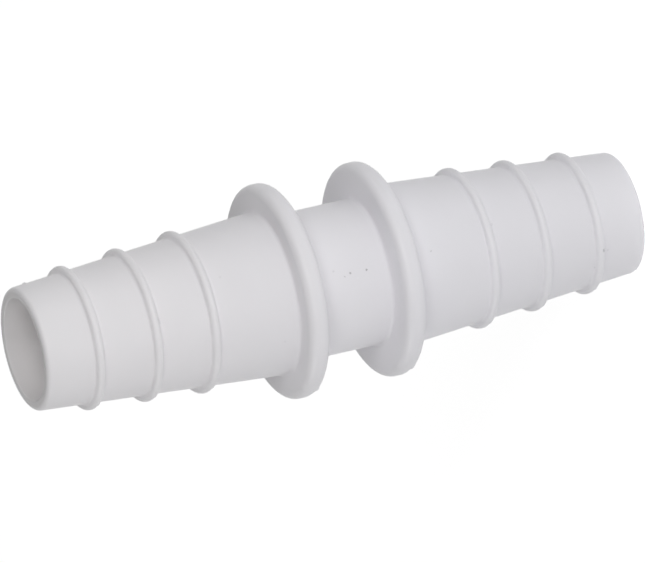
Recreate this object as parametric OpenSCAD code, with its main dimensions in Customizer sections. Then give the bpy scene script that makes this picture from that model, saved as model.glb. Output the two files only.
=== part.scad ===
// Hose adapter, moulded in one piece of pale polypropylene.
// A hose pushes onto the tapered, ringed spigot at each end and stops at a flange.
// The plain barrel between the two flanges is where the adapter is gripped or clipped.
// It stands on one tip, with its axis along +Z and its origin at the centre of that tip.

/* [Spigots] */
// Length of a spigot, from its tip to the flange
spigot_length = 38.25; // [30:0.05:60]
// Outside diameter of a spigot at its tip
tip_diameter = 18.2; // [17.2:0.1:21]
// Outside diameter of a spigot where it meets the flange
root_diameter = 24.3; // [21.5:0.1:28]
// Radius on the outer edge of the tip
tip_rounding = 1; // [0.2:0.05:1.2]
// Radius of the fillet between a spigot and its flange
root_fillet = 0.5; // [0.2:0.05:1.5]

/* [Sealing rings] */
// Number of rings on each spigot
ring_count = 3; // [1:1:4]
// Distance from the tip to the middle of the first ring
first_ring = 7.9; // [3:0.05:10]
// Distance from one ring to the next
ring_pitch = 8.75; // [4:0.05:9]
// Height of a ring's crest above the cone
ring_height = 0.95; // [0.6:0.05:1.5]
// Radius of a ring's rounded crest
ring_crest = 0.6; // [0.4:0.05:0.8]
// Radius of the fillets at a ring's foot
ring_foot = 0.35; // [0.1:0.05:0.6]

/* [Flanges] */
// Outside diameter of a flange
flange_diameter = 32; // [29:0.1:50]
// Thickness of a flange
flange_thickness = 3.2; // [1.5:0.1:8]
// Radius on both edges of a flange's rim
flange_rounding = 1.3; // [0.2:0.05:1.5]

/* [Barrel] */
// Length of the barrel, from flange to flange
barrel_length = 12.1; // [4:0.1:60]
// Outside diameter of the barrel
barrel_diameter = 21.8; // [18:0.1:28]
// Radius of the fillets between the barrel and the flanges
barrel_fillet = 0.5; // [0.2:0.05:1.5]

/* [Bore] */
// Diameter of the throat, where the two moulding cores met
throat_diameter = 14.6; // [8:0.1:15]
// Length of the throat
throat_length = 12; // [2:0.1:30]
// Draft that widens the bore from the throat to each mouth, in degrees a side
bore_draft = 0.4; // [0.1:0.05:0.6]
// Radius on the inner edge of each mouth
mouth_rounding = 0.4; // [0.1:0.05:0.8]

/* [Hidden] */

// Facets of a preview round its axis, and round the arcs of its section
turn_facets = 180;
arc_facets = 72;

// Flat that always stays between two roundings on one edge
least_flat = 0.1;
// How far a cut starts outside the solid that it cuts
cut_margin = 1;
// How far a fillet reaches into the walls that it joins
fillet_sink = 0.3;

total_length = 2 * (spigot_length + flange_thickness) + barrel_length;
tip_radius = tip_diameter / 2;
root_radius = root_diameter / 2;
flange_radius = flange_diameter / 2;
barrel_radius = barrel_diameter / 2;
barrel_start = spigot_length + flange_thickness;

// The cone leans outwards by this angle from tip to flange
cone_angle = atan((root_radius - tip_radius) / spigot_length);
function cone_radius(height) = tip_radius + height * tan(cone_angle);

// The bore is straight in the throat and opens towards both mouths
throat_radius = throat_diameter / 2;
throat_start = (total_length - throat_length) / 2;
mouth_radius = throat_radius + throat_start * tan(bore_draft);

// The tip's two roundings share the wall there, so neither is larger than it allows
lip_room = tip_radius - mouth_radius - least_flat;
lip_share = min(1, lip_room / (tip_rounding + mouth_rounding));
tip_edge = tip_rounding * lip_share;
mouth_edge = mouth_rounding * lip_share;
rim_edge = min(flange_rounding, (flange_thickness - least_flat) / 2);

// An arc of the section, as the round that it belongs to
module round_at(place, radius) {
    translate(place) circle(r = radius, $fn = arc_facets);
}

// What a fillet adds in a corner: a patch that is sunk into both walls there,
// less the round that touches them. Its points go round anticlockwise.
module fillet_outline(centre, first_touch, corner, second_touch, radius) {
    sunk = 1 + fillet_sink / radius;
    difference() {
        polygon([
            centre,
            centre + sunk * (first_touch - centre),
            centre + sunk * (corner - centre),
            centre + sunk * (second_touch - centre)
        ]);
        round_at(centre, radius);
    }
}

// Half section of the cone, closed at the axis, with its outer tip edge rounded.
// Past its root it runs on straight, to end inside the flange.
module cone_outline() {
    edge_x = tip_radius - tip_edge * (1 - sin(cone_angle)) / cos(cone_angle);
    core_end = spigot_length + flange_thickness / 2;
    polygon([
        [0, 0],
        [edge_x, 0],
        [edge_x + tip_edge * cos(cone_angle), tip_edge * (1 - sin(cone_angle))],
        [root_radius, spigot_length],
        [root_radius, core_end],
        [0, core_end]
    ]);
    round_at([edge_x, tip_edge], tip_edge);
}

// What stands on one side of the X axis, and its mirror image
module both_sides() {
    children();
    mirror([0, 1]) children();
}

// Section of one ring, standing along +X on a wall that runs along Y:
// a round crest on a straight neck, with a fillet on either side of its foot
module ring_outline() {
    crest_x = ring_height - ring_crest;
    round_at([crest_x, 0], ring_crest);
    translate([-fillet_sink, -ring_crest]) square([crest_x + fillet_sink, 2 * ring_crest]);

    // The fillet touches the neck where that is tall enough, and otherwise the crest
    touched = [min(crest_x, ring_foot), 0];
    reach = sqrt(pow(ring_crest + ring_foot, 2) - pow(ring_foot - touched.x, 2));
    centre = [ring_foot, reach];
    both_sides() fillet_outline(
        centre,
        [0, reach],
        [0, ring_crest],
        touched + ring_crest / (ring_crest + ring_foot) * (centre - touched),
        ring_foot
    );
}

// The rings of one spigot, square to the cone that they stand on
module ring_outlines() {
    for (i = [0 : ring_count - 1]) {
        height = first_ring + i * ring_pitch;
        translate([cone_radius(height), height]) rotate(-cone_angle) ring_outline();
    }
}

// Fillet between the cone and the flange's outer face
module root_outline() {
    centre_y = spigot_length - root_fillet;
    centre_x = cone_radius(centre_y) + root_fillet / cos(cone_angle);
    fillet_outline(
        [centre_x, centre_y],
        [centre_x, spigot_length],
        [root_radius, spigot_length],
        [centre_x - root_fillet * cos(cone_angle), centre_y + root_fillet * sin(cone_angle)],
        root_fillet
    );
}

// Half section of a flange, closed at the axis, with both edges of its rim rounded
module flange_outline() {
    translate([0, spigot_length]) {
        square([flange_radius - rim_edge, flange_thickness]);
        translate([0, rim_edge]) square([flange_radius, flange_thickness - 2 * rim_edge]);
        round_at([flange_radius - rim_edge, rim_edge], rim_edge);
        round_at([flange_radius - rim_edge, flange_thickness - rim_edge], rim_edge);
    }
}

// Fillet between the flange's inner face and the barrel
module barrel_root_outline() {
    corner = [barrel_radius, barrel_start];
    fillet_outline(
        corner + [barrel_fillet, barrel_fillet],
        corner + [0, barrel_fillet],
        corner,
        corner + [barrel_fillet, 0],
        barrel_fillet
    );
}

// Half section of the barrel, closed at the axis
module barrel_outline() {
    translate([0, spigot_length]) square([barrel_radius, total_length - 2 * spigot_length]);
}

// Half section of the water way through the throat and both drafted stretches
module bore_outline() {
    opening_radius = mouth_radius + cut_margin * tan(bore_draft);
    polygon([
        [0, -cut_margin],
        [opening_radius, -cut_margin],
        [throat_radius, throat_start],
        [throat_radius, throat_start + throat_length],
        [opening_radius, total_length + cut_margin],
        [0, total_length + cut_margin]
    ]);
}

// What the rounding takes off the inner edge of a mouth
module mouth_outline() {
    centre_x = mouth_radius + mouth_edge * (1 - sin(bore_draft)) / cos(bore_draft);
    wall_x = centre_x - mouth_edge * cos(bore_draft);
    wall_y = mouth_edge * (1 - sin(bore_draft));
    difference() {
        polygon([
            [mouth_radius / 2, -cut_margin],
            [centre_x, -cut_margin],
            [centre_x, mouth_edge],
            [wall_x, wall_y],
            [mouth_radius / 2, wall_y]
        ]);
        round_at([centre_x, mouth_edge], mouth_edge);
    }
}

// The two ends of the adapter are alike
module both_ends() {
    children();
    translate([0, total_length]) mirror([0, 1]) children();
}

module adapter_body() {
    color("whitesmoke")
    rotate_extrude($fn = turn_facets)
    difference() {
        union() {
            both_ends() {
                cone_outline();
                ring_outlines();
                root_outline();
                flange_outline();
                barrel_root_outline();
            }
            barrel_outline();
        }
        bore_outline();
        both_ends() mouth_outline();
    }
}

adapter_body();
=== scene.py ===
"""Looks of a hose adapter that is moulded in one piece of pale polypropylene.

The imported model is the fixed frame. A finely turned body with the marks of its mould stands
for the CAD node, and a pale floor, soft lamps and a camera make the studio round it.
"""

import math

import bmesh
import bpy
from bpy.props import FloatProperty, FloatVectorProperty, IntProperty, PointerProperty
from mathutils import Matrix, Vector


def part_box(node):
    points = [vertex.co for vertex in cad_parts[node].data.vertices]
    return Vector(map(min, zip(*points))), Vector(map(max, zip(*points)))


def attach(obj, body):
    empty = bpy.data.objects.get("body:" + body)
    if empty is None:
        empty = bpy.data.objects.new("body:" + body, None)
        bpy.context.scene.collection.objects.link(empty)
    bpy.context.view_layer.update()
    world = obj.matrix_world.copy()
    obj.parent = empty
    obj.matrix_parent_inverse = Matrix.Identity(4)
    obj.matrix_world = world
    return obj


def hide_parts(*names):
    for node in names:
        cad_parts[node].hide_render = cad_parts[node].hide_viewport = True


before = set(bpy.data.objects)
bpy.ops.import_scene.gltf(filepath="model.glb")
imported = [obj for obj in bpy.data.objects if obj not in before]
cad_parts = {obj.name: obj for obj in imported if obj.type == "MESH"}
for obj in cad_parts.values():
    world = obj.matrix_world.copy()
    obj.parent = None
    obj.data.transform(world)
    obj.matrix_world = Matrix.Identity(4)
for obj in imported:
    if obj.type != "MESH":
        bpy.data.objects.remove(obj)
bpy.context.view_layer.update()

bl_info = {
    "name": "Hose Adapter",
    "version": (1, 0, 0),
    "blender": (4, 5, 0),
    "location": "3D View > Sidebar > Hose Adapter",
    "description": "Turns and finishes a moulded hose adapter and lights it in a small studio",
    "category": "Add Mesh",
}

MM = 0.001
BODY_NODE = "adapter_body"
BODY_NAME = "root"
node_low, node_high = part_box(BODY_NODE)

# Heading of the plane in which the two halves of the mould met, about the adapter's axis
PARTING_ANGLE = math.radians(17)

# Distance under which points are merged, and half the thickness of a test for a plane
MERGE_DISTANCE = MM / 1000
HAIR = MM / 100

# Angle between two faces up to which the edge between them is shaded smooth
SMOOTH_ANGLE = math.radians(35)

# Short raised bits of flash on the parting line: height, lift and reach, in millimetres
RIM_BURRS = ((54.1, 0.12, 0.45), (39.0, 0.10, 0.5), (41.1, 0.05, 0.35))

# How far in from the rim the burrs reach
RIM_BAND = 1.2 * MM

# A burr or flake is lifted in two steps, over these shares of its reach
BURR_SHARES = (1.0, 0.55)
FLAKE_SHARES = (1.0, 0.6)

# A loose flake near the upper tip: heading, and height, lift and reach in millimetres
TIP_FLAKE = (math.radians(1), 92.65, 0.17, 0.24)

# Rows of points across the cone there, as shares of the flake's reach
FLAKE_ROWS = (-1.5, -0.9, -0.5, 0, 0.5, 0.9, 1.5)

# Marks on the skin: place and radius in millimetres, and how much lighter or darker it is
SKIN_MARKS = (
    ((-4.89, -9.35, 7.52), 0.30, -0.40),
    ((-4.96, -8.24, 6.51), 0.16, -0.14),
    ((-6.97, -6.86, 8.58), 0.16, -0.16),
    ((0.69, -11.87, 34.96), 0.14, -0.36),
    ((2.92, -11.37, 33.12), 0.13, 0.22),
    ((0.20, -10.90, 47.54), 0.17, -0.55),
    ((0.17, -10.90, 44.98), 0.16, -0.60),
    ((-0.10, -10.90, 48.47), 0.14, -0.36),
    ((1.00, -10.85, 50.00), 0.16, -0.14),
    ((-0.73, -10.88, 46.52), 0.15, 0.34),
    ((-2.27, -10.66, 47.55), 0.14, 0.14),
    ((2.54, -10.74, 24.32), 0.14, -0.16),
    ((2.34, -10.80, 24.44), 0.12, -0.14),
    ((6.31, -7.53, 9.05), 0.16, 0.24),
    ((-0.30, -10.80, 77.75), 0.60, -0.12),
    ((3.88, -10.64, 67.10), 0.22, -0.07),
    ((-7.29, -9.48, 59.12), 0.22, -0.09),
    ((-14.48, -5.28, 41.45), 0.30, 0.08),
)

# Shares of a mark's radius between which it fades
MARK_INNER, MARK_OUTER = 0.35, 1.35

# Scale of the noise that makes a mark's edge ragged, and the range of its shift in radii
RAGGED_SCALE = 3500
RAGGED_DEPTH = 2.4

# Distances from the point of its cell, as shares of a cell, between which a speck fades
SPECK_INNER, SPECK_OUTER = 0.05, 0.11

# How far the plastic's tone wanders in its faint clouds, and how far its roughness does
CLOUD_DEPTH = 0.015
GLOSS_DEPTH = 0.05

# Depth behind a mouth over which the painted shade at the mouth gives way to the painted light
# of the deeper bore
MOUTH_SHADE_DEPTH = 4.5 * MM

# Width over which the painted shade of a tip's face gives way to the colour of the outside
FACE_SHADE_EDGE = 0.3 * MM

# Heights between which the plastic grows warmer, as shares of the adapter's length
DRIFT_START, DRIFT_END = 0.4, 0.8

# Height of the moulded grain, and how strongly it shows
GRAIN_HEIGHT = 0.01 * MM
GRAIN_STRENGTH = 0.25

# Milkiness of the plastic: share of the light that goes in, and how far it goes
MILK_SHARE = 0.4
MILK_DEPTH = 3 * MM

# Refractive index of polypropylene
REFRACTION = 1.49

# Steps in which the arcs of the section are drawn, and the straight of the bore
FOOT_STEPS, CREST_STEPS = 5, 12
TIP_STEPS, MOUTH_STEPS, BORE_STEPS = 8, 6, 6
FILLET_STEPS, RIM_STEPS = 6, 9


class BodySizes(bpy.types.PropertyGroup):
    """Sizes of the moulded body, as in the part's source but for the tips' sharper edges"""

    spigot_length: FloatProperty(
        name="Spigot Length",
        description="Length of a spigot, from its tip to the flange",
        default=38.25 * MM, precision=5, unit="LENGTH",
    )
    tip_diameter: FloatProperty(
        name="Tip Diameter",
        description="Outside diameter of a spigot at its tip",
        default=18.2 * MM, precision=5, unit="LENGTH",
    )
    root_diameter: FloatProperty(
        name="Root Diameter",
        description="Outside diameter of a spigot where it meets the flange",
        default=24.3 * MM, precision=5, unit="LENGTH",
    )
    tip_rounding: FloatProperty(
        name="Tip Rounding",
        description="Radius on the outer edge of the tip",
        default=0.75 * MM, precision=5, unit="LENGTH",
    )
    root_fillet: FloatProperty(
        name="Root Fillet",
        description="Radius of the fillet between a spigot and its flange",
        default=0.5 * MM, precision=5, unit="LENGTH",
    )
    ring_count: IntProperty(
        name="Rings",
        description="Number of rings on each spigot",
        default=3, min=1, max=4,
    )
    first_ring: FloatProperty(
        name="First Ring",
        description="Distance from the tip to the middle of the first ring",
        default=7.9 * MM, precision=5, unit="LENGTH",
    )
    ring_pitch: FloatProperty(
        name="Ring Pitch",
        description="Distance from one ring to the next",
        default=8.75 * MM, precision=5, unit="LENGTH",
    )
    ring_height: FloatProperty(
        name="Ring Height",
        description="Height of a ring's crest above the cone",
        default=0.95 * MM, precision=5, unit="LENGTH",
    )
    ring_crest: FloatProperty(
        name="Ring Crest",
        description="Radius of a ring's rounded crest",
        default=0.6 * MM, precision=5, unit="LENGTH",
    )
    ring_foot: FloatProperty(
        name="Ring Foot",
        description="Radius of the fillets at a ring's foot",
        default=0.35 * MM, precision=5, unit="LENGTH",
    )
    flange_diameter: FloatProperty(
        name="Flange Diameter",
        description="Outside diameter of a flange",
        default=node_high.x - node_low.x, precision=5, unit="LENGTH",
    )
    flange_thickness: FloatProperty(
        name="Flange Thickness",
        description="Thickness of a flange",
        default=3.2 * MM, precision=5, unit="LENGTH",
    )
    flange_rounding: FloatProperty(
        name="Flange Rounding",
        description="Radius on both edges of a flange's rim",
        default=1.3 * MM, precision=5, unit="LENGTH",
    )
    barrel_diameter: FloatProperty(
        name="Barrel Diameter",
        description="Outside diameter of the barrel between the flanges",
        default=21.8 * MM, precision=5, unit="LENGTH",
    )
    barrel_fillet: FloatProperty(
        name="Barrel Fillet",
        description="Radius of the fillets between the barrel and the flanges",
        default=0.5 * MM, precision=5, unit="LENGTH",
    )
    throat_diameter: FloatProperty(
        name="Throat Diameter",
        description="Diameter of the throat in the middle of the bore",
        default=14.6 * MM, precision=5, unit="LENGTH",
    )
    throat_length: FloatProperty(
        name="Throat Length",
        description="Length of the throat",
        default=12.0 * MM, precision=5, unit="LENGTH",
    )
    bore_draft: FloatProperty(
        name="Bore Draft",
        description="Angle by which a side of the bore opens from the throat to a mouth",
        default=math.radians(0.4), unit="ROTATION",
    )
    mouth_rounding: FloatProperty(
        name="Mouth Rounding",
        description="Radius on the inner edge of each mouth",
        default=0.25 * MM, precision=5, unit="LENGTH",
    )
    total_length: FloatProperty(
        name="Total Length",
        description="Length of the adapter, from tip to tip",
        default=node_high.z - node_low.z, precision=5, unit="LENGTH",
    )
    turn_steps: IntProperty(
        name="Turn Steps",
        description="Steps in which the section is turned about the axis",
        default=256, min=32, max=320,
    )


class MouldSizes(bpy.types.PropertyGroup):
    """Marks that the mould leaves on the body"""

    parting_lift: FloatProperty(
        name="Flash Height",
        description="Height of the thin ridge where the halves of the mould met",
        default=0.03 * MM, precision=6, unit="LENGTH",
    )
    parting_width: FloatProperty(
        name="Flash Width",
        description="Width of that ridge",
        default=0.16 * MM, precision=6, unit="LENGTH",
    )
    parting_step: FloatProperty(
        name="Mould Mismatch",
        description="Step between the halves at the front of the parting line",
        default=0.1 * MM, precision=6, unit="LENGTH",
    )


class FinishColours(bpy.types.PropertyGroup):
    """Colours and gloss of the moulded plastic, with the painted light and shade in the bore
    and on the tips' faces
    """

    plastic: FloatVectorProperty(
        name="Plastic",
        description="Colour of the moulded plastic on the lower spigot",
        default=(0.869, 0.859, 0.889), subtype="COLOR", size=3, min=0, max=1,
    )
    warm_plastic: FloatVectorProperty(
        name="Warmer Plastic",
        description="Colour of the moulded plastic on the upper spigot",
        default=(0.878, 0.862, 0.878), subtype="COLOR", size=3, min=0, max=1,
    )
    # Painted light: the bore is given a colour lighter than the plastic, so that deep inside it
    # looks as lit as near the mouth
    bore: FloatVectorProperty(
        name="Bore",
        description="Colour of the plastic inside the bore",
        default=(0.99, 0.96, 0.96), subtype="COLOR", size=3, min=0, max=1,
    )
    # Painted shade: the face of a tip and the bore just inside its mouth are given a colour
    # darker than the plastic, for the shade that falls there
    mouth: FloatVectorProperty(
        name="Mouth",
        description="Colour of the plastic at the face of a tip and just inside its mouth",
        default=(0.76, 0.745, 0.75), subtype="COLOR", size=3, min=0, max=1,
    )
    dark_speck: FloatVectorProperty(
        name="Dark Specks",
        description="Colour of the small dark specks in the plastic",
        default=(0.22, 0.21, 0.22), subtype="COLOR", size=3, min=0, max=1,
    )
    light_speck: FloatVectorProperty(
        name="Light Specks",
        description="Colour of the small light marks on the plastic",
        default=(0.97, 0.97, 0.98), subtype="COLOR", size=3, min=0, max=1,
    )
    gloss_loss: FloatProperty(
        name="Roughness",
        description="Mean roughness of the moulded skin",
        default=0.45, min=0, max=1,
    )


class StudioValues(bpy.types.PropertyGroup):
    """Floor, camera and light"""

    floor_size: FloatProperty(
        name="Floor Size",
        description="Width of the square floor",
        default=3.0, unit="LENGTH",
    )
    floor_colour: FloatVectorProperty(
        name="Floor",
        description="Colour of the floor",
        default=(0.80, 0.80, 0.80), subtype="COLOR", size=3, min=0, max=1,
    )
    camera_distance: FloatProperty(
        name="Camera Distance",
        description="Distance along the line of sight from the camera to the adapter's middle",
        default=1356.0 * MM, unit="LENGTH",
    )
    camera_elevation: FloatProperty(
        name="Camera Elevation",
        description="Angle of the line of sight below the horizon",
        default=math.radians(20.557), unit="ROTATION",
    )
    camera_roll: FloatProperty(
        name="Camera Roll",
        description="Turn of the camera about its line of sight, which lays the adapter down",
        default=math.radians(102.991), unit="ROTATION",
    )
    camera_lens: FloatProperty(
        name="Lens",
        description="Focal length of the camera, in millimetres",
        default=520.1,
    )
    lamp_power: FloatProperty(
        name="Lamp Power",
        description="Factor on the power of all lamps",
        default=1.0, min=0,
    )


# The studio

IMAGE_WIDTH = 645
SENSOR_WIDTH = 36.0
# Where the adapter's middle stands in the picture, in pixels from the picture's middle
MIDDLE_RIGHT = 2.62
MIDDLE_UP = 1.05
# Distances from the camera between which it sees
CLIP_START, CLIP_END = 0.05, 20


def aim_camera(values):
    """Makes the camera, looking along +Y and down, and rolled so that the adapter lies."""
    elevation = values.camera_elevation
    forward = Vector((0, math.cos(elevation), -math.sin(elevation)))
    level = Vector((1, 0, 0))
    upward = Vector((0, math.sin(elevation), math.cos(elevation)))
    right = level * math.cos(values.camera_roll) - upward * math.sin(values.camera_roll)
    up = level * math.sin(values.camera_roll) + upward * math.cos(values.camera_roll)
    pixel = values.camera_distance * SENSOR_WIDTH / (values.camera_lens * IMAGE_WIDTH)
    middle = (node_low + node_high) / 2
    middle.x = middle.y = 0
    place = middle - forward * values.camera_distance
    place -= (right * MIDDLE_RIGHT + up * MIDDLE_UP) * pixel
    bpy.ops.object.select_all(action="DESELECT")
    bpy.ops.object.camera_add(location=place)
    camera = bpy.context.object
    camera.name = "studio_camera"
    camera.matrix_world = Matrix.Translation(place) @ Matrix(
        (right, up, -forward)
    ).transposed().to_4x4()
    camera.data.sensor_fit = "AUTO"
    camera.data.sensor_width = SENSOR_WIDTH
    camera.data.lens = values.camera_lens
    camera.data.clip_start = CLIP_START
    camera.data.clip_end = CLIP_END
    bpy.context.scene.camera = camera


def add_lamp(name, heading, height, power):
    """A square soft lamp that faces the adapter's middle; heading 0 is the camera's side."""
    middle = Vector((0, 0, (node_low.z + node_high.z) / 2))
    way = Vector((
        math.sin(heading) * math.cos(height),
        -math.cos(heading) * math.cos(height),
        math.sin(height),
    ))
    bpy.ops.object.select_all(action="DESELECT")
    bpy.ops.object.light_add(type="AREA", location=middle + way * LAMP_DISTANCE)
    lamp = bpy.context.object
    lamp.name = name
    lamp.rotation_euler = way.to_track_quat("Z", "Y").to_euler()
    lamp.data.shape = "SQUARE"
    lamp.data.size = LAMP_SIZE
    lamp.data.energy = power


# Soft lamps: name, heading and height in degrees, and power in watts
LAMPS = (
    ("front_high_lamp", 15, 25, 7.9),
    ("front_low_lamp", -15, 8, 5.0),
    ("left_lamp", -100, 25, 5.3),
    ("right_front_lamp", 55, 8, 2.3),
    ("right_lamp", 100, 8, 1.75),
)
LAMP_DISTANCE = 1.6
LAMP_SIZE = 0.7

# Light of the world, and the floor's glow on the adapter, which the camera doesn't see
WORLD_LIGHT = (0.0925, 0.0925, 0.0925)
FLOOR_GLOW = (0.206, 0.208, 0.218)

# The floor as the camera sees it: what it keeps of light and shadow, and its own white
SEEN_SHADE = (0.5, 0.5, 0.5)
SEEN_WHITE = 0.86


def light_studio(values):
    """Adds the lamps, and a world that is white where it is seen and dim as a light."""
    for name, heading, height, power in LAMPS:
        add_lamp(
            name, math.radians(heading), math.radians(height), power * values.lamp_power
        )
    world = bpy.data.worlds.new("studio_world")
    bpy.context.scene.world = world
    world.use_nodes = True
    tree = world.node_tree
    tree.nodes.clear()
    seen = seen_by_eye(tree)
    light = add_node(tree, "ShaderNodeBackground", (-200, 100))
    light.inputs["Color"].default_value = (*WORLD_LIGHT, 1)
    white = add_node(tree, "ShaderNodeBackground", (-200, -100))
    white.inputs["Color"].default_value = (1, 1, 1, 1)
    white.inputs["Strength"].default_value = 1
    either = add_node(tree, "ShaderNodeMixShader", (50, 0))
    result = add_node(tree, "ShaderNodeOutputWorld", (250, 0))
    tree.links.new(seen, either.inputs[0])
    tree.links.new(light.outputs[0], either.inputs[1])
    tree.links.new(white.outputs[0], either.inputs[2])
    tree.links.new(either.outputs[0], result.inputs["Surface"])


def lay_floor(values):
    """A pale floor under the adapter that shows white and keeps the adapter's shadow."""
    bpy.ops.object.select_all(action="DESELECT")
    bpy.ops.mesh.primitive_plane_add(size=values.floor_size, location=(0, 0, node_low.z))
    floor = bpy.context.object
    floor.name = "studio_floor"
    material = bpy.data.materials.new("pale_floor")
    material.use_nodes = True
    tree = material.node_tree
    tree.nodes.clear()
    seen = seen_by_eye(tree)
    matt = add_node(tree, "ShaderNodeBsdfDiffuse", (-400, 200))
    matt.inputs["Color"].default_value = (*values.floor_colour, 1)
    lift = add_node(tree, "ShaderNodeEmission", (-400, 400))
    lift.inputs["Color"].default_value = (*FLOOR_GLOW, 1)
    lift.inputs["Strength"].default_value = 1
    pale = add_node(tree, "ShaderNodeAddShader", (-200, 300))
    shade = add_node(tree, "ShaderNodeBsdfDiffuse", (-400, 0))
    shade.inputs["Color"].default_value = (*SEEN_SHADE, 1)
    glow = add_node(tree, "ShaderNodeEmission", (-400, -200))
    glow.inputs["Color"].default_value = (1, 1, 1, 1)
    glow.inputs["Strength"].default_value = SEEN_WHITE
    both = add_node(tree, "ShaderNodeAddShader", (-200, -100))
    either = add_node(tree, "ShaderNodeMixShader", (0, 0))
    result = add_node(tree, "ShaderNodeOutputMaterial", (200, 0))
    tree.links.new(shade.outputs[0], both.inputs[0])
    tree.links.new(glow.outputs[0], both.inputs[1])
    tree.links.new(seen, either.inputs[0])
    tree.links.new(matt.outputs[0], pale.inputs[0])
    tree.links.new(lift.outputs[0], pale.inputs[1])
    tree.links.new(pale.outputs[0], either.inputs[1])
    tree.links.new(both.outputs[0], either.inputs[2])
    tree.links.new(either.outputs[0], result.inputs["Surface"])
    floor.data.materials.append(material)


# Nodes

def add_node(tree, kind, place, **values):
    """Adds a shader node of a kind at a place on the node sheet, with its settings."""
    node = tree.nodes.new(kind)
    node.location = place
    for key, value in values.items():
        setattr(node, key, value)
    return node


def seen_by_eye(tree):
    """Socket that is 1 for rays from the camera, and for those seen in gloss or glass."""
    path = add_node(tree, "ShaderNodeLightPath", (-900, 300))
    first = add_node(tree, "ShaderNodeMath", (-700, 300), operation="MAXIMUM")
    second = add_node(tree, "ShaderNodeMath", (-550, 300), operation="MAXIMUM")
    tree.links.new(path.outputs["Is Camera Ray"], first.inputs[0])
    tree.links.new(path.outputs["Is Glossy Ray"], first.inputs[1])
    tree.links.new(first.outputs[0], second.inputs[0])
    tree.links.new(path.outputs["Is Transmission Ray"], second.inputs[1])
    return second.outputs[0]


def new_group(name, wanted, given):
    """A shader node group with named inputs (kind and default) and outputs (kind)."""
    tree = bpy.data.node_groups.new(name, "ShaderNodeTree")
    for title, (kind, default) in wanted.items():
        socket = tree.interface.new_socket(title, in_out="INPUT", socket_type=kind)
        if default is not None:
            socket.default_value = default
    for title, kind in given.items():
        tree.interface.new_socket(title, in_out="OUTPUT", socket_type=kind)
    source = add_node(tree, "NodeGroupInput", (-1200, 0))
    result = add_node(tree, "NodeGroupOutput", (600, 0))
    return tree, source.outputs, result.inputs


def use_group(tree, group, place, **values):
    """Places a node group in a tree, with values for its inputs."""
    node = add_node(tree, "ShaderNodeGroup", place, node_tree=group)
    for title, value in values.items():
        node.inputs[title.replace("_", " ").title()].default_value = value
    return node


def skin_mark_group():
    """Mask of one small, slightly ragged mark on the skin, by its distance from a place."""
    tree, source, result = new_group(
        "Skin Mark",
        {
            "Position": ("NodeSocketVector", None),
            "Ragged": ("NodeSocketVector", None),
            "Centre": ("NodeSocketVector", (0, 0, 0)),
            "Radius": ("NodeSocketFloat", 0.2 * MM),
            "Strength": ("NodeSocketFloat", 1.0),
        },
        {"Mask": "NodeSocketFloat"},
    )
    offset = add_node(tree, "ShaderNodeVectorMath", (-950, 0), operation="SUBTRACT")
    scale = add_node(tree, "ShaderNodeVectorMath", (-950, -200), operation="SCALE")
    joined = add_node(tree, "ShaderNodeVectorMath", (-750, 0), operation="ADD")
    length = add_node(tree, "ShaderNodeVectorMath", (-550, 0), operation="LENGTH")
    outer = add_node(tree, "ShaderNodeMath", (-550, -250), operation="MULTIPLY")
    outer.inputs[1].default_value = MARK_OUTER
    inner = add_node(tree, "ShaderNodeMath", (-550, -450), operation="MULTIPLY")
    inner.inputs[1].default_value = MARK_INNER
    fade = add_node(tree, "ShaderNodeMapRange", (-250, 0), interpolation_type="SMOOTHSTEP")
    fade.inputs["To Min"].default_value = 1
    fade.inputs["To Max"].default_value = 0
    power = add_node(tree, "ShaderNodeMath", (0, 0), operation="MULTIPLY")
    link = tree.links.new
    link(source["Position"], offset.inputs[0])
    link(source["Centre"], offset.inputs[1])
    link(source["Ragged"], scale.inputs[0])
    link(source["Radius"], scale.inputs["Scale"])
    link(offset.outputs[0], joined.inputs[0])
    link(scale.outputs[0], joined.inputs[1])
    link(joined.outputs[0], length.inputs[0])
    link(source["Radius"], outer.inputs[0])
    link(source["Radius"], inner.inputs[0])
    link(length.outputs["Value"], fade.inputs["Value"])
    link(inner.outputs[0], fade.inputs["From Min"])
    link(outer.outputs[0], fade.inputs["From Max"])
    link(fade.outputs[0], power.inputs[0])
    link(source["Strength"], power.inputs[1])
    link(power.outputs[0], result["Mask"])
    return tree


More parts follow.
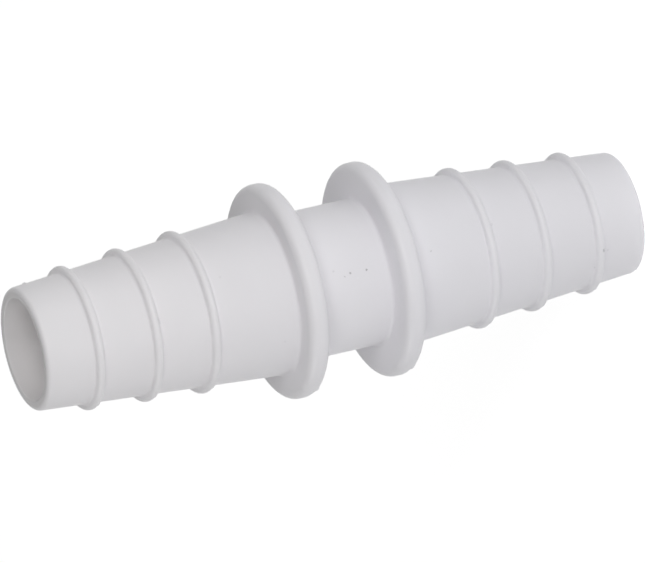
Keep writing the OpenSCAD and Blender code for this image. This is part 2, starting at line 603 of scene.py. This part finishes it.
def moulded_skin_group():
    """Fine grain, slow unevenness and scattered specks of a moulded plastic skin."""
    tree, source, result = new_group(
        "Moulded Skin",
        {
            "Position": ("NodeSocketVector", None),
            "Grain Scale": ("NodeSocketFloat", 2600.0),
            "Cloud Scale": ("NodeSocketFloat", 90.0),
            "Speck Scale": ("NodeSocketFloat", 420.0),
            "Speck Share": ("NodeSocketFloat", 0.012),
        },
        {
            "Grain": "NodeSocketFloat",
            "Clouds": "NodeSocketFloat",
            "Specks": "NodeSocketFloat",
            "Ragged": "NodeSocketVector",
        },
    )
    grain = add_node(tree, "ShaderNodeTexNoise", (-900, 300))
    grain.inputs["Detail"].default_value = 3
    grain.inputs["Roughness"].default_value = 0.55
    clouds = add_node(tree, "ShaderNodeTexNoise", (-900, 50))
    clouds.inputs["Detail"].default_value = 2
    ragged = add_node(tree, "ShaderNodeTexNoise", (-900, -200))
    ragged.inputs["Scale"].default_value = RAGGED_SCALE
    ragged.inputs["Detail"].default_value = 2
    centred = add_node(tree, "ShaderNodeVectorMath", (-650, -200), operation="SUBTRACT")
    centred.inputs[1].default_value = (0.5, 0.5, 0.5)
    wide = add_node(tree, "ShaderNodeVectorMath", (-450, -200), operation="SCALE")
    wide.inputs["Scale"].default_value = RAGGED_DEPTH
    cells = add_node(tree, "ShaderNodeTexVoronoi", (-900, -450))
    dot = add_node(tree, "ShaderNodeMapRange", (-650, -450), interpolation_type="SMOOTHSTEP")
    dot.inputs["From Min"].default_value = SPECK_INNER
    dot.inputs["From Max"].default_value = SPECK_OUTER
    dot.inputs["To Min"].default_value = 1
    dot.inputs["To Max"].default_value = 0
    split = add_node(tree, "ShaderNodeSeparateColor", (-650, -700))
    rare = add_node(tree, "ShaderNodeMath", (-450, -700), operation="LESS_THAN")
    chosen = add_node(tree, "ShaderNodeMath", (-250, -500), operation="MULTIPLY")
    link = tree.links.new
    for texture in (grain, clouds, ragged, cells):
        link(source["Position"], texture.inputs["Vector"])
    link(source["Grain Scale"], grain.inputs["Scale"])
    link(source["Cloud Scale"], clouds.inputs["Scale"])
    link(source["Speck Scale"], cells.inputs["Scale"])
    link(ragged.outputs["Color"], centred.inputs[0])
    link(centred.outputs[0], wide.inputs[0])
    link(cells.outputs["Distance"], dot.inputs["Value"])
    link(cells.outputs["Color"], split.inputs[0])
    link(split.outputs["Red"], rare.inputs[0])
    link(source["Speck Share"], rare.inputs[1])
    link(dot.outputs[0], chosen.inputs[0])
    link(rare.outputs[0], chosen.inputs[1])
    link(grain.outputs["Fac"], result["Grain"])
    link(clouds.outputs["Fac"], result["Clouds"])
    link(chosen.outputs[0], result["Specks"])
    link(wide.outputs[0], result["Ragged"])
    return tree


def add_up(tree, sockets, place):
    """Sum of several value sockets, held between 0 and 1."""
    total = sockets[0]
    for number, socket in enumerate(sockets[1:]):
        add = add_node(
            tree, "ShaderNodeMath", (place[0] + 160 * number, place[1]), operation="ADD"
        )
        add.use_clamp = True
        tree.links.new(total, add.inputs[0])
        tree.links.new(socket, add.inputs[1])
        total = add.outputs[0]
    return total


def mix_colour(tree, place, share, first, second):
    """Mixes two colours, each a socket or a plain colour, by a socket."""
    mix = add_node(tree, "ShaderNodeMix", place, data_type="RGBA")
    tree.links.new(share, mix.inputs[0])
    for slot, value in ((6, first), (7, second)):
        if isinstance(value, bpy.types.NodeSocket):
            tree.links.new(value, mix.inputs[slot])
        else:
            mix.inputs[slot].default_value = (*value, 1)
    return mix.outputs[2]


def map_value(tree, place, socket, low, high):
    """Maps a value between 0 and 1 to the range from low to high."""
    range_node = add_node(tree, "ShaderNodeMapRange", place)
    range_node.inputs["To Min"].default_value = low
    range_node.inputs["To Max"].default_value = high
    tree.links.new(socket, range_node.inputs["Value"])
    return range_node.outputs[0]


def bore_mask(tree, coordinates, radius):
    """Mask that is 1 in the bore and on the tips' faces, by the distance from the axis, where
    the painted light and shade go.
    """
    flat = add_node(tree, "ShaderNodeVectorMath", (-1900, 500), operation="MULTIPLY")
    flat.inputs[1].default_value = (1, 1, 0)
    length = add_node(tree, "ShaderNodeVectorMath", (-1700, 500), operation="LENGTH")
    inside = add_node(tree, "ShaderNodeMapRange", (-1500, 500))
    inside.inputs["From Min"].default_value = radius
    inside.inputs["From Max"].default_value = radius + FACE_SHADE_EDGE
    inside.inputs["To Min"].default_value = 1
    inside.inputs["To Max"].default_value = 0
    tree.links.new(coordinates, flat.inputs[0])
    tree.links.new(flat.outputs[0], length.inputs[0])
    tree.links.new(length.outputs["Value"], inside.inputs["Value"])
    return inside.outputs[0]


def height_share(tree, coordinates, place, low, high):
    """Share that rises from 0 to 1 between two heights along the adapter's axis."""
    split = add_node(tree, "ShaderNodeSeparateXYZ", place)
    rise = add_node(tree, "ShaderNodeMapRange", (place[0] + 200, place[1]))
    rise.inputs["From Min"].default_value = low
    rise.inputs["From Max"].default_value = high
    tree.links.new(coordinates, split.inputs[0])
    tree.links.new(split.outputs["Z"], rise.inputs["Value"])
    return rise.outputs[0]


def polypropylene(colours, face_radius):
    """Satin, slightly milky plastic with mould grain, faint clouds, specks and small marks.

    The bore and the tips' faces, up to face_radius from the axis, get painted light and shade
    in place of the plastic's colour: painted shade on the faces and just inside the mouths, and
    painted light deeper in the bore.
    """
    material = bpy.data.materials.new("moulded_polypropylene")
    material.use_nodes = True
    tree = material.node_tree
    tree.nodes.clear()
    coordinates = add_node(tree, "ShaderNodeTexCoord", (-2200, 0)).outputs["Object"]
    skin = use_group(tree, moulded_skin_group(), (-1900, 0))
    tree.links.new(coordinates, skin.inputs["Position"])
    mark_group = skin_mark_group()
    dark, light = [skin.outputs["Specks"]], []
    for number, (centre, radius, strength) in enumerate(SKIN_MARKS):
        mark = use_group(
            tree, mark_group, (-1500, -260 * number),
            centre=[c * MM for c in centre], radius=radius * MM, strength=abs(strength),
        )
        tree.links.new(coordinates, mark.inputs["Position"])
        tree.links.new(skin.outputs["Ragged"], mark.inputs["Ragged"])
        (dark if strength < 0 else light).append(mark.outputs["Mask"])
    darker = add_up(tree, dark, (-1200, -600))
    lighter = add_up(tree, light, (-1200, -900))
    tone = map_value(tree, (-1200, 200), skin.outputs["Clouds"], 0.0, 1.0)
    drift = height_share(
        tree, coordinates, (-1600, 700), DRIFT_START * node_high.z, DRIFT_END * node_high.z
    )
    dull = [
        [c * (1 - CLOUD_DEPTH) for c in colour]
        for colour in (colours.plastic, colours.warm_plastic)
    ]
    bright = [
        [min(1, c * (1 + CLOUD_DEPTH)) for c in colour]
        for colour in (colours.plastic, colours.warm_plastic)
    ]
    clouded = mix_colour(
        tree, (-900, 200), tone,
        mix_colour(tree, (-1100, 300), drift, *dull),
        mix_colour(tree, (-1100, 100), drift, *bright),
    )
    # Painted shade near both mouths and on the tips' faces, giving way to painted light deeper
    # in the bore
    upper = height_share(
        tree, coordinates, (-1600, 900), node_high.z - MOUTH_SHADE_DEPTH, node_high.z
    )
    lower = height_share(
        tree, coordinates, (-1600, 1100), node_low.z + MOUTH_SHADE_DEPTH, node_low.z
    )
    mouth_shade_share = add_up(tree, [upper, lower], (-1100, 1000))
    painted_bore_light_and_shade = mix_colour(tree, (-900, 500), mouth_shade_share, colours.bore, colours.mouth)
    inside = bore_mask(tree, coordinates, face_radius)
    parted = mix_colour(tree, (-750, 200), inside, clouded, painted_bore_light_and_shade)
    specked = mix_colour(tree, (-600, 200), darker, parted, colours.dark_speck)
    marked = mix_colour(tree, (-300, 200), lighter, specked, colours.light_speck)
    gloss = map_value(
        tree, (-900, -100), skin.outputs["Clouds"],
        colours.gloss_loss - GLOSS_DEPTH, colours.gloss_loss + GLOSS_DEPTH,
    )
    bump = add_node(tree, "ShaderNodeBump", (-300, -300))
    bump.inputs["Strength"].default_value = GRAIN_STRENGTH
    bump.inputs["Distance"].default_value = GRAIN_HEIGHT
    tree.links.new(skin.outputs["Grain"], bump.inputs["Height"])
    plastic = add_node(tree, "ShaderNodeBsdfPrincipled", (0, 0))
    plastic.inputs["IOR"].default_value = REFRACTION
    plastic.inputs["Subsurface Weight"].default_value = MILK_SHARE
    plastic.inputs["Subsurface Radius"].default_value = (1.0, 1.0, 1.0)
    plastic.inputs["Subsurface Scale"].default_value = MILK_DEPTH
    result = add_node(tree, "ShaderNodeOutputMaterial", (350, 0))
    tree.links.new(marked, plastic.inputs["Base Color"])
    tree.links.new(gloss, plastic.inputs["Roughness"])
    tree.links.new(bump.outputs[0], plastic.inputs["Normal"])
    tree.links.new(plastic.outputs[0], result.inputs["Surface"])
    return material


# The moulded body

def arc(centre, radius, start, end, steps):
    """Points on an arc of the section, with both of its ends; angles are in degrees."""
    return [
        (
            centre[0] + radius * math.cos(math.radians(start + (end - start) * i / steps)),
            centre[1] + radius * math.sin(math.radians(start + (end - start) * i / steps)),
        )
        for i in range(steps + 1)
    ]


def ring_points(sizes, cone_radius, lean, height):
    """A ring's section, from the fillet at its lower foot over its crest to the upper one."""
    crest, foot = sizes.ring_crest, sizes.ring_foot
    rise = sizes.ring_height - crest
    # The fillets touch the straight neck where that is tall enough, and otherwise the crest
    touched = min(rise, foot)
    reach = math.sqrt((crest + foot) ** 2 - (foot - touched) ** 2)
    slope = math.degrees(math.atan2(foot - touched, reach))
    lower = arc((foot, -reach), foot, 180, 90 + slope, FOOT_STEPS)
    top = arc((rise, 0), crest, slope - 90, 90 - slope, CREST_STEPS)
    upper = arc((foot, reach), foot, -90 - slope, -180, FOOT_STEPS)
    along = Vector((math.sin(lean), math.cos(lean)))
    out = Vector((math.cos(lean), -math.sin(lean)))
    base = Vector((cone_radius(height), height))
    return [tuple(base + out * x + along * y) for x, y in lower + top + upper]


def mouth_radius(sizes):
    """Radius to which the draft opens the bore at a mouth."""
    throat_start = (sizes.total_length - sizes.throat_length) / 2
    return sizes.throat_diameter / 2 + throat_start * math.tan(sizes.bore_draft)


def half_section(sizes):
    """Points of the lower half's section, from the bore's middle round to the barrel's."""
    lean = math.atan((sizes.root_diameter - sizes.tip_diameter) / 2 / sizes.spigot_length)
    tilt = math.degrees(lean)

    def cone_radius(height):
        return sizes.tip_diameter / 2 + height * math.tan(lean)

    middle = sizes.total_length / 2
    throat_radius = sizes.throat_diameter / 2
    throat_start = middle - sizes.throat_length / 2
    draft = sizes.bore_draft
    mouth = sizes.mouth_rounding
    mouth_x = mouth_radius(sizes) + mouth * (1 - math.sin(draft)) / math.cos(draft)
    tip = sizes.tip_rounding
    tip_x = sizes.tip_diameter / 2 - tip * (1 - math.sin(lean)) / math.cos(lean)
    points = [(throat_radius, middle), (throat_radius, throat_start)]
    mouth_arc = arc((mouth_x, mouth), mouth, 180 + math.degrees(draft), 270, MOUTH_STEPS)
    bore_end = Vector(mouth_arc[0])
    for i in range(1, BORE_STEPS):
        points.append(tuple(Vector(points[1]).lerp(bore_end, i / BORE_STEPS)))
    points += mouth_arc
    points += arc((tip_x, tip), tip, -90, -tilt, TIP_STEPS)
    _, flake_height, _, flake_reach = TIP_FLAKE
    for share in FLAKE_ROWS:
        height = sizes.total_length - (flake_height - share * flake_reach) * MM
        points.append((cone_radius(height), height))
    for i in range(sizes.ring_count):
        points += ring_points(
            sizes, cone_radius, lean, sizes.first_ring + i * sizes.ring_pitch
        )
    root_y = sizes.spigot_length - sizes.root_fillet
    root_x = cone_radius(root_y) + sizes.root_fillet / math.cos(lean)
    points += arc((root_x, root_y), sizes.root_fillet, 180 - tilt, 90, FILLET_STEPS)
    rim, thick = sizes.flange_rounding, sizes.flange_thickness
    rim_x = sizes.flange_diameter / 2 - rim
    points += arc((rim_x, sizes.spigot_length + rim), rim, -90, 0, RIM_STEPS)
    points += arc((rim_x, sizes.spigot_length + thick - rim), rim, 0, 90, RIM_STEPS)
    fillet = sizes.barrel_fillet
    start = sizes.spigot_length + thick
    fillet_centre = (sizes.barrel_diameter / 2 + fillet, start + fillet)
    points += arc(fillet_centre, fillet, 270, 180, FILLET_STEPS)
    points.append((sizes.barrel_diameter / 2, middle))
    return points


def select_points(body, test):
    """Selects the vertices of the body, in edit mode, whose place passes a test."""
    mesh = bmesh.from_edit_mesh(body.data)
    mesh.select_mode = {"VERT"}
    for vertex in mesh.verts:
        vertex.select_set(bool(test(vertex.co)))
    mesh.select_flush_mode()
    bmesh.update_edit_mesh(body.data)


def turn_body(sizes):
    """Draws the section point by point from one vertex, and turns it about the axis."""
    half = half_section(sizes)
    total = sizes.total_length
    outline = half + [(x, total - y) for x, y in reversed(half[1:-1])]
    heading = Vector((math.cos(PARTING_ANGLE), math.sin(PARTING_ANGLE), 0))
    corners = [heading * x + Vector((0, 0, y + node_low.z)) for x, y in outline]
    bpy.ops.object.select_all(action="DESELECT")
    bpy.ops.mesh.primitive_plane_add(size=MM, location=(0, 0, 0))
    body = bpy.context.object
    body.name = "moulded_body"
    bpy.ops.object.mode_set(mode="EDIT")
    bpy.ops.mesh.select_mode(type="VERT")
    bpy.ops.mesh.select_all(action="SELECT")
    bpy.ops.mesh.merge(type="CENTER")
    bpy.ops.transform.translate(value=corners[0])
    for before, after in zip(corners, corners[1:] + corners[:1]):
        bpy.ops.mesh.extrude_vertices_move(
            TRANSFORM_OT_translate={"value": after - before}
        )
    bpy.ops.mesh.select_all(action="SELECT")
    bpy.ops.mesh.remove_doubles(threshold=MERGE_DISTANCE)
    bpy.ops.mesh.spin(
        steps=sizes.turn_steps, angle=math.tau, center=(0, 0, 0), axis=(0, 0, 1)
    )
    bpy.ops.mesh.select_all(action="SELECT")
    bpy.ops.mesh.remove_doubles(threshold=MERGE_DISTANCE)
    bpy.ops.mesh.normals_make_consistent(inside=False)
    bpy.ops.object.mode_set(mode="OBJECT")
    return body


def mark_parting(body, sizes, mould):
    """Cuts in the parting line, and adds its flash, mismatch and burrs, and the tip's flake."""
    heading = Vector((math.cos(PARTING_ANGLE), math.sin(PARTING_ANGLE), 0))
    across = Vector((-heading.y, heading.x, 0))
    half_width = mould.parting_width / 2
    skin = (sizes.throat_diameter / 2 + sizes.tip_diameter / 2) / 2

    def outside(place):
        return place.xy.length > skin

    bpy.ops.object.select_all(action="DESELECT")
    body.select_set(True)
    bpy.context.view_layer.objects.active = body
    bpy.ops.object.mode_set(mode="EDIT")
    for offset in (-half_width, half_width):
        bpy.ops.mesh.select_all(action="SELECT")
        bpy.ops.mesh.bisect(
            plane_co=across * offset, plane_no=across, use_fill=False,
            clear_inner=False, clear_outer=False, threshold=MERGE_DISTANCE,
        )
    # The back half sits a little in at the front of the line and flush at the far side
    fixed = heading * sizes.flange_diameter / 2
    shrink = 1 - mould.parting_step / sizes.flange_diameter
    select_points(body, lambda p: outside(p) and p.dot(across) > half_width - HAIR)
    bpy.ops.transform.resize(value=(shrink, shrink, 1), center_override=fixed)
    # The flash stands along the line on both sides
    for side in (1, -1):
        select_points(
            body,
            lambda p: outside(p) and abs(p.dot(across)) < HAIR and p.dot(heading) * side > 0,
        )
        bpy.ops.transform.translate(value=heading * side * mould.parting_lift)
    for height, lift, reach in RIM_BURRS:
        for share in BURR_SHARES:
            select_points(
                body,
                lambda p: p.dot(heading) < -sizes.flange_diameter / 2 + RIM_BAND
                and abs(p.z - height * MM) < reach * share * MM
                and abs(p.dot(across)) < reach * share * MM,
            )
            bpy.ops.transform.translate(value=-heading * lift * MM / 2)
    angle, height, lift, reach = TIP_FLAKE
    flake = Vector((math.cos(angle), math.sin(angle), 0))
    beside = Vector((-flake.y, flake.x, 0))
    for share in FLAKE_SHARES:
        select_points(
            body,
            lambda p: outside(p) and p.dot(flake) > 0
            and abs(p.z - height * MM) < reach * share * MM
            and abs(p.dot(beside)) < reach * share * MM,
        )
        bpy.ops.transform.translate(value=flake * lift * MM / 2)
    bpy.ops.mesh.select_all(action="SELECT")
    bpy.ops.mesh.remove_doubles(threshold=MERGE_DISTANCE)
    bpy.ops.object.mode_set(mode="OBJECT")


# Operators

class ADAPTER_OT_add_studio(bpy.types.Operator):
    """Adds the camera, the soft lamps and the pale floor"""

    bl_idname = "adapter.add_studio"
    bl_label = "Add Studio"
    bl_options = {"REGISTER", "UNDO"}

    def execute(self, context):
        values = context.scene.adapter_studio
        aim_camera(values)
        light_studio(values)
        lay_floor(values)
        context.scene.view_settings.view_transform = "Standard"
        return {"FINISHED"}


class ADAPTER_OT_add_body(bpy.types.Operator):
    """Turns the moulded body, marks its parting line and gives it its plastic"""

    bl_idname = "adapter.add_body"
    bl_label = "Add Moulded Body"
    bl_options = {"REGISTER", "UNDO"}

    def execute(self, context):
        scene = context.scene
        sizes = scene.adapter_sizes
        body = turn_body(sizes)
        mark_parting(body, sizes, scene.adapter_mould)
        bpy.ops.object.shade_smooth_by_angle(angle=SMOOTH_ANGLE)
        body.data.materials.clear()
        face_radius = sizes.tip_diameter / 2 - sizes.tip_rounding
        body.data.materials.append(polypropylene(scene.adapter_finish, face_radius))
        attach(body, BODY_NAME)
        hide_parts(BODY_NODE)
        return {"FINISHED"}


class ADAPTER_PT_sidebar(bpy.types.Panel):
    """Sizes, finish and studio of the hose adapter"""

    bl_label = "Hose Adapter"
    bl_idname = "ADAPTER_PT_sidebar"
    bl_space_type = "VIEW_3D"
    bl_region_type = "UI"
    bl_category = "Hose Adapter"

    def draw(self, context):
        scene = context.scene
        for title, group in (
            ("Body", scene.adapter_sizes),
            ("Mould marks", scene.adapter_mould),
            ("Finish", scene.adapter_finish),
            ("Studio", scene.adapter_studio),
        ):
            box = self.layout.box()
            box.label(text=title)
            for key in group.bl_rna.properties.keys():
                if key not in {"rna_type", "name"}:
                    box.prop(group, key)
        self.layout.operator(ADAPTER_OT_add_studio.bl_idname)
        self.layout.operator(ADAPTER_OT_add_body.bl_idname)


CLASSES = (
    BodySizes,
    MouldSizes,
    FinishColours,
    StudioValues,
    ADAPTER_OT_add_studio,
    ADAPTER_OT_add_body,
    ADAPTER_PT_sidebar,
)
GROUPS = {
    "adapter_sizes": BodySizes,
    "adapter_mould": MouldSizes,
    "adapter_finish": FinishColours,
    "adapter_studio": StudioValues,
}


def register():
    for kind in CLASSES:
        bpy.utils.register_class(kind)
    for name, kind in GROUPS.items():
        setattr(bpy.types.Scene, name, PointerProperty(type=kind))


def unregister():
    for name in GROUPS:
        delattr(bpy.types.Scene, name)
    for kind in reversed(CLASSES):
        bpy.utils.unregister_class(kind)


def main():
    """Builds the studio and the body."""
    register()
    bpy.ops.adapter.add_studio()
    bpy.ops.adapter.add_body()


if __name__ == "__main__":
    main()
